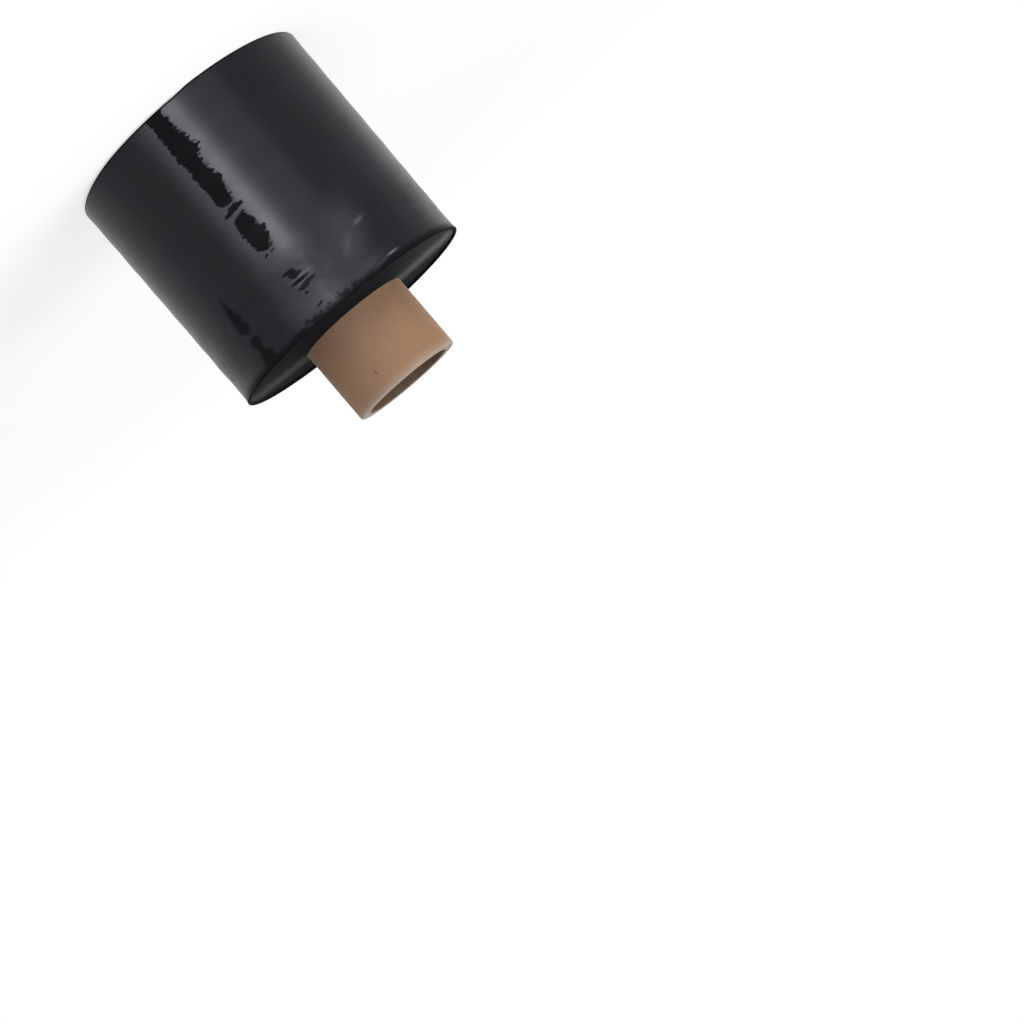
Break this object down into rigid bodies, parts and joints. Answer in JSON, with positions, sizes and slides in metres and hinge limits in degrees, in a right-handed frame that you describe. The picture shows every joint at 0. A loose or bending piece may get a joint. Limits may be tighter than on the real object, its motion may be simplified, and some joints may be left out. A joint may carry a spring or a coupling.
{
  "type": "stretch wrap roll",
  "caption": "Short roll of glossy black stretch film wound on a cardboard core that stands out of one end and is open right through.",
  "frame": {"origin": "centre of the flat end, on the surface that the roll stands on", "axes": "+Z along the roll's axis, from the flat end towards the open end where the core stands out; X and Y across the roll"},
  "size_m": [0.1075, 0.1074, 0.133],
  "materials": {
    "film": "glossy black stretch film, wound tight",
    "cardboard": "matte brown kraft board"
  },
  "bodies": {
    "root": {"wound_film": "film", "core": "cardboard"}
  },
  "joints": []
}
